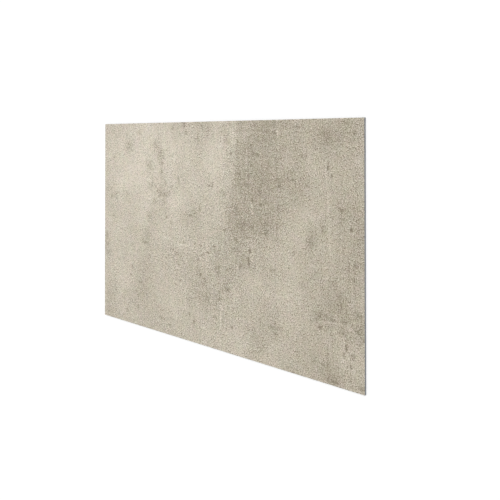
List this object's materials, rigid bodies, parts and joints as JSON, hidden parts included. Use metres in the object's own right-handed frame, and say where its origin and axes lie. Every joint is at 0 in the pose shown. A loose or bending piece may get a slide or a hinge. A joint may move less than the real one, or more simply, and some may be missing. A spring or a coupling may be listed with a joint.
{
  "type": "spc wall panel",
  "caption": "Flat rectangular wall panel: a rigid stone plastic composite board with a concrete-look decor layer, glued to a wall by its back face.",
  "frame": {"origin": "centre of the back face, which is the face that is glued to the wall and that the panel lies on", "axes": "+X along the panel's length, towards its right-hand end as hung; +Y across its width, towards its top edge as hung; +Z out of the decor face"},
  "size_m": [1, 0.6, 0.0055],
  "materials": {
    "core": "matte",
    "decor": "matte"
  },
  "bodies": {
    "root": {"core_board": "core", "decor_layer": "decor"}
  },
  "joints": []
}
